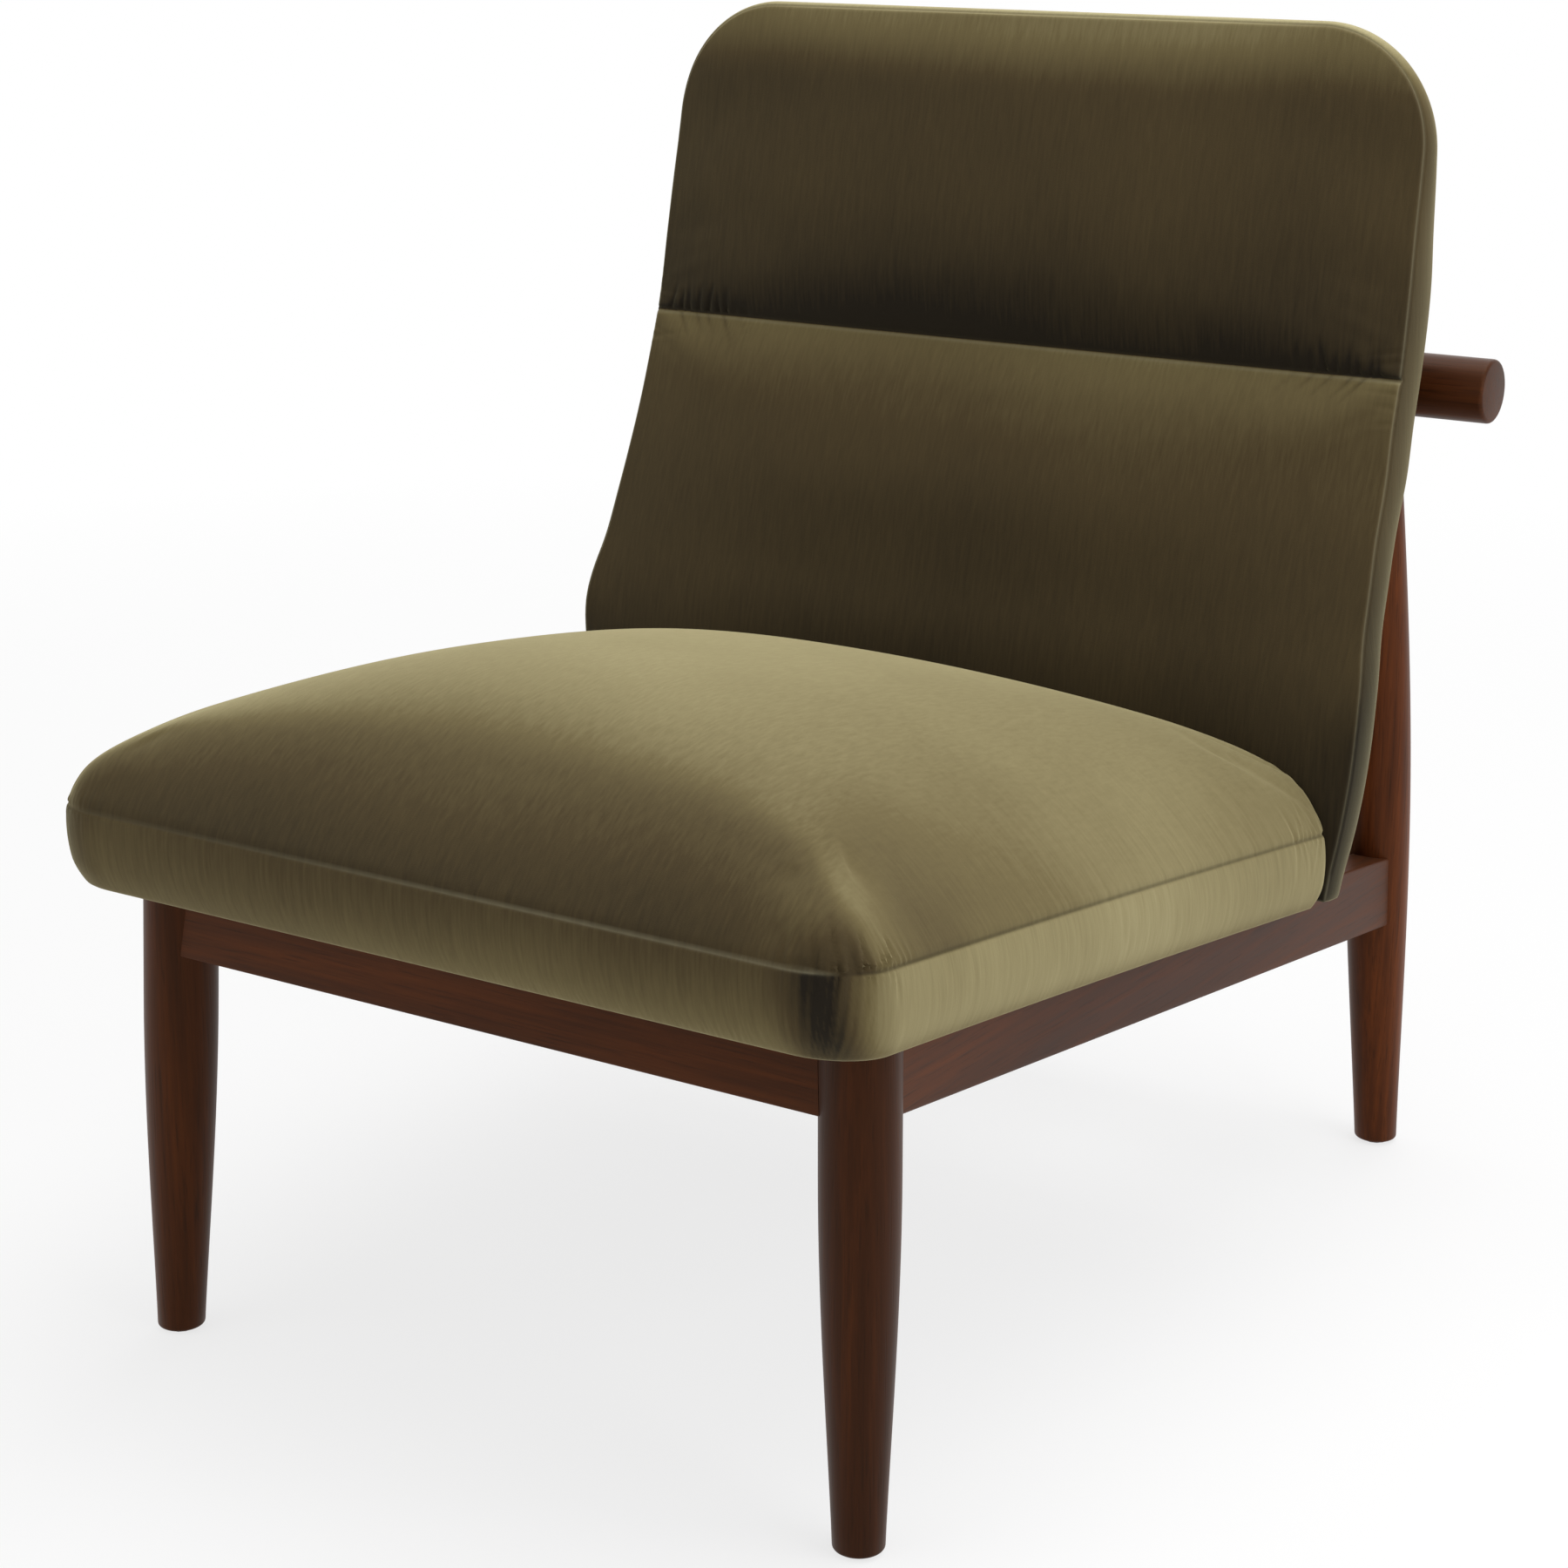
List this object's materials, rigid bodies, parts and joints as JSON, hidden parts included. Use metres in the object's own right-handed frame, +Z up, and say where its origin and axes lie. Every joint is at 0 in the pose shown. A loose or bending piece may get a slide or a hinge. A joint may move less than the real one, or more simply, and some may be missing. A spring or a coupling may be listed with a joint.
{
  "type": "slipper chair",
  "caption": "Armless low lounge chair: turned wood stand with splayed legs, crowned box seat on a sloping rail frame, and a reclined curved back bolted to a round crossbar.",
  "frame": {"origin": "on the floor, under the middle of the chair's outline", "axes": "+Z up, front of the chair towards -Y, +X to the right of someone who looks at the chair from the front"},
  "size_m": [0.696, 0.8452, 0.856],
  "materials": {
    "stained_wood": "dark walnut stain, satin lacquer",
    "board_wood": "plain birch ply and poplar, unfinished",
    "velvet": "olive-khaki cotton velvet with a short nap",
    "foam": "open-cell foam, matte",
    "webbing": "woven elastic webbing",
    "dust_cloth": "black non-woven cloth",
    "steel": "zinc-plated and bright wire",
    "nylon": "dark brown nylon"
  },
  "bodies": {
    "root": {"front_leg_left": "stained_wood", "front_leg_right": "stained_wood", "rear_post_left": "stained_wood", "rear_post_right": "stained_wood", "front_rail": "stained_wood", "side_rail_left": "stained_wood", "side_rail_right": "stained_wood", "rear_rail": "stained_wood", "cross_rail": "stained_wood", "crossbar": "stained_wood", "back_saddle_left": "stained_wood", "back_saddle_right": "stained_wood", "corner_block_front_left": "board_wood", "corner_block_front_right": "board_wood", "corner_block_rear_left": "board_wood", "corner_block_rear_right": "board_wood", "seat_board_front": "board_wood", "seat_board_rear": "board_wood", "seat_board_left": "board_wood", "seat_board_right": "board_wood", "spring_batten_front": "board_wood", "spring_batten_rear": "board_wood", "back_stile_left": "board_wood", "back_stile_right": "board_wood", "back_top_rail": "board_wood", "back_mid_rail": "board_wood", "back_foot_rail": "board_wood", "seat_cover": "velvet", "back_cover": "velvet", "back_rear_panel": "velvet", "seat_foam": "foam", "back_foam_lower": "foam", "back_foam_upper": "foam", "back_strap_1": "webbing", "back_strap_2": "webbing", "back_strap_3": "webbing", "back_strap_4": "webbing", "seat_dust_cover": "dust_cloth", "seat_spring_1": "steel", "seat_spring_2": "steel", "seat_spring_3": "steel", "seat_spring_4": "steel", "back_bolt_left": "steel", "back_bolt_right": "steel", "back_nut_left": "steel", "back_nut_right": "steel", "seat_screw_front_left": "steel", "seat_screw_front_right": "steel", "seat_screw_rear_left": "steel", "seat_screw_rear_right": "steel", "back_foot_screw_left": "steel", "back_foot_screw_right": "steel", "glide_front_left": "nylon", "glide_front_right": "nylon", "glide_rear_left": "nylon", "glide_rear_right": "nylon"}
  },
  "joints": []
}
